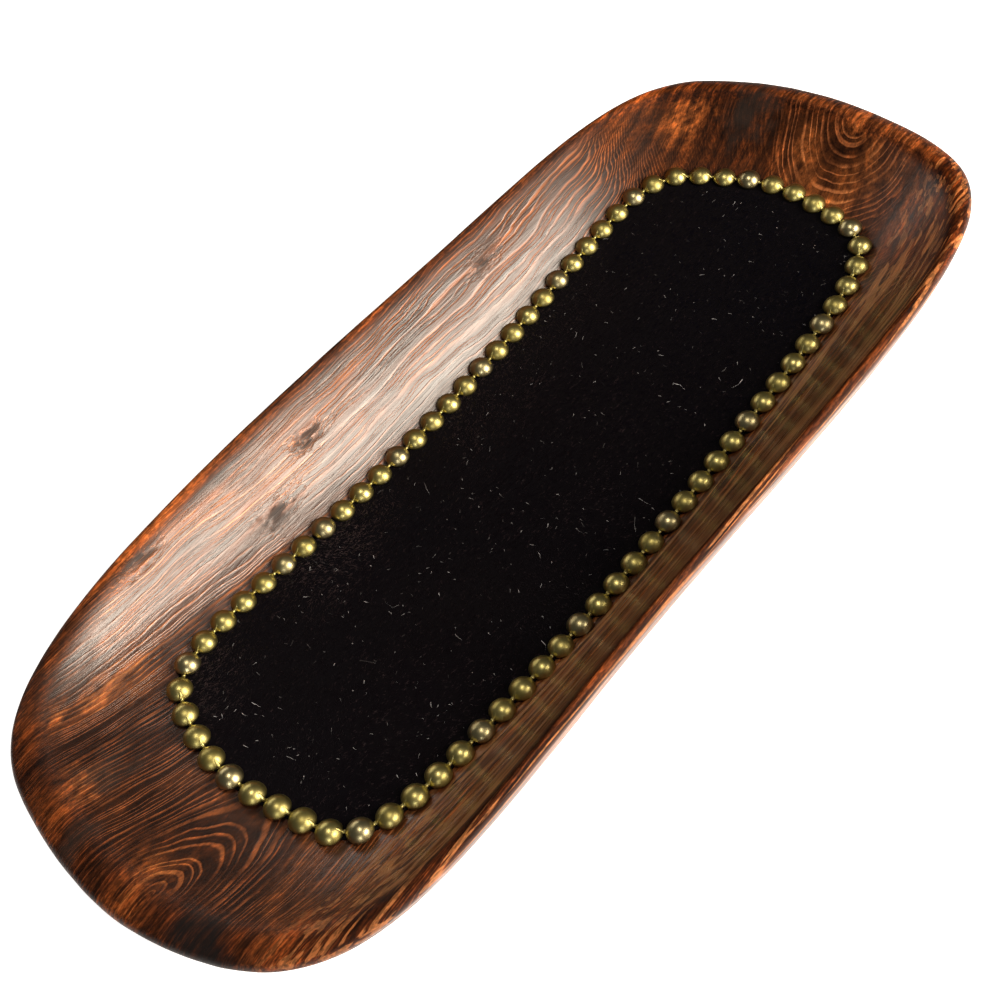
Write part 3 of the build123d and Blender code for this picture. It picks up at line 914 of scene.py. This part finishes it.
def ring_profile():
    """Flat nail ring, with a hole for the tack."""
    return [(RING_RADIUS, 0), (RING_RADIUS, METAL), (RING_HOLE_RADIUS, METAL), (RING_HOLE_RADIUS, 0)]


def shank_profile():
    """Pointed shank, up into the head."""
    top = HEAD_HEIGHT - METAL
    return [(0, -SHANK_LENGTH), (SHANK_RADIUS, -SHANK_LENGTH + SHANK_POINT), (SHANK_RADIUS, top), (0, top)]


def placed(part, seat):
    """A part's points moved to a seat, with its faces."""
    points, faces = part
    return points @ np.array(seat.to_3x3()).T + np.array(seat.translation), faces


def wobble(seat):
    """A seat turned a little at random, as a hand-set head sits."""
    tilt = noise.random_vector() * HEAD_TILT
    return seat @ Matrix.Rotation(tilt.x, 4, "X") @ Matrix.Rotation(tilt.y, 4, "Y")


def neck_part(seat_a, seat_b):
    """Narrow saddle between two domes, running a little way up the flank of each."""
    gap = seat_b.translation - seat_a.translation
    z_axis = (seat_a.col[2].to_3d() + seat_b.col[2].to_3d()).normalized()
    x_axis = gap.normalized()
    y_axis = z_axis.cross(x_axis).normalized()
    seat = seat_at((seat_a.translation + seat_b.translation) / 2, x_axis, y_axis, z_axis)
    points = neck_points(gap.length / 2 / MM)
    row = len(NECK_SECTION)
    faces = [(a * row + b, a * row + b + 1, (a + 1) * row + b + 1, (a + 1) * row + b)
             for a in range(NECK_STEPS - 1) for b in range(row - 1)]
    return placed((np.array(points) * MM, faces), seat)


def neck_points(half_gap):
    """Rows of a neck's points in millimetres, from one head to the next."""
    ball = ball_radius()
    waist, by_heads, at_tips = NECK_WAIST
    points = []
    for t in np.linspace(-1, 1, NECK_STEPS):
        along = t * (half_gap - HEAD_RADIUS * NECK_START)
        from_head = half_gap - abs(along)
        on_dome = math.sqrt(max(ball ** 2 - from_head ** 2, 0)) - (ball - HEAD_HEIGHT)
        crown = math.hypot(max(on_dome, 0), NECK_SADDLE) + NECK_CROWN * (1 - t * t)
        half_width = NECK_WIDTH / 2 * (waist + by_heads * abs(t) - at_tips * abs(t) ** 5)
        for across in NECK_SECTION:
            height = max(crown * (1 - NECK_FALL * across ** 4) - NECK_SINK, 0)
            points.append((along, half_width * across, height))
    return points


def make_trim(seats, material):
    """The stamped strip: domes, nail rings and necks."""
    noise.seed_set(STRIP_SEED)
    dome = revolved(dome_profile(), DOME_FACETS)
    ring = revolved(ring_profile(), DOME_FACETS)
    parts = []
    for head, seat in enumerate(seats):
        if head != JOINT_HEAD:
            parts.append(placed(ring if head in TACK_HEADS else dome, wobble(seat)))
        following = (head + 1) % HEAD_COUNT
        if JOINT_HEAD not in (head, following):
            parts.append(neck_part(seat, seats[following]))
    piece = make_object("nailhead_strip", *join_meshes(parts), material)
    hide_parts("nailhead_trim")
    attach(piece, "root")


def make_tacks(seats, material):
    """A real tack at each nail ring, and one over the strip's joint."""
    noise.seed_set(TACK_SEED)
    dome = revolved(dome_profile(), TACK_FACETS)
    shank = revolved(shank_profile(), SHANK_FACETS)
    for number, head in enumerate(TACK_HEADS, start=1):
        seat = wobble(seats[head] @ Matrix.Translation((0, 0, TACK_LIFT * MM)))
        tack = join_meshes([placed(dome, seat), placed(shank, seat)])
        piece = make_object(f"domed_tack_{number:02d}", *tack, material)
        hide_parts(f"tack_{number:02d}")
        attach(piece, "root")


# ==== Stage and camera ====
def area_light(name, at, target, size, power, colour):
    """Rectangular light at a place, turned to a target."""
    light = bpy.data.lights.new(name, "AREA")
    light.shape = "RECTANGLE"
    light.size, light.size_y = size
    light.energy = power
    light.color = colour
    lamp = bpy.data.objects.new(name, light)
    lamp.location = at
    lamp.rotation_mode = "QUATERNION"
    lamp.rotation_quaternion = (Vector(target) - Vector(at)).to_track_quat("-Z", "Y")
    bpy.context.scene.collection.objects.link(lamp)


def make_stage():
    """White floor, four area lights and a faint even light from all round."""
    corners = [(x * FLOOR_HALF, y * FLOOR_HALF, 0) for x, y in ((-1, -1), (1, -1), (1, 1), (-1, 1))]
    floor = make_object("floor", corners, [(0, 1, 2, 3)], floor_material())
    for light in LIGHTS:
        area_light(*light)
    world = bpy.data.worlds.new("studio")
    world.use_nodes = True
    background = world.node_tree.nodes["Background"]
    background.inputs["Color"].default_value = WHITE
    background.inputs["Strength"].default_value = WORLD_STRENGTH
    bpy.context.scene.world = world
    bpy.context.scene.view_settings.view_transform = "Standard"


def make_camera():
    """Camera at its place, turned by azimuth, elevation and roll."""
    azimuth, elevation, roll = (math.radians(a) for a in (CAMERA_AZIMUTH, CAMERA_ELEVATION, CAMERA_ROLL))
    back = Vector((math.sin(azimuth) * math.cos(elevation), -math.cos(azimuth) * math.cos(elevation),
                   math.sin(elevation)))
    level = (-back).cross(Vector((0, 0, 1))).normalized()
    up = level.cross(-back)
    right = level * math.cos(roll) + up * math.sin(roll)
    top = up * math.cos(roll) - level * math.sin(roll)
    data = bpy.data.cameras.new("camera")
    data.lens = CAMERA_LENS
    data.clip_start = CAMERA_CLIP
    camera = bpy.data.objects.new("camera", data)
    camera.matrix_world = seat_at(Vector(CAMERA_AT), right, top, back)
    bpy.context.scene.collection.objects.link(camera)
    bpy.context.scene.camera = camera


# ==== Build ====
make_camera()
make_stage()
make_tray(WoodShader().material)
lining = make_lining(pile_material())
hair = make_hair(hair_material())
lint = make_lint(lint_material())
seats = head_seats()
make_trim(seats, brass_material("antique_brass", *STRIP_BRASS))
make_tacks(seats, brass_material("tack_brass", *TACK_BRASS))
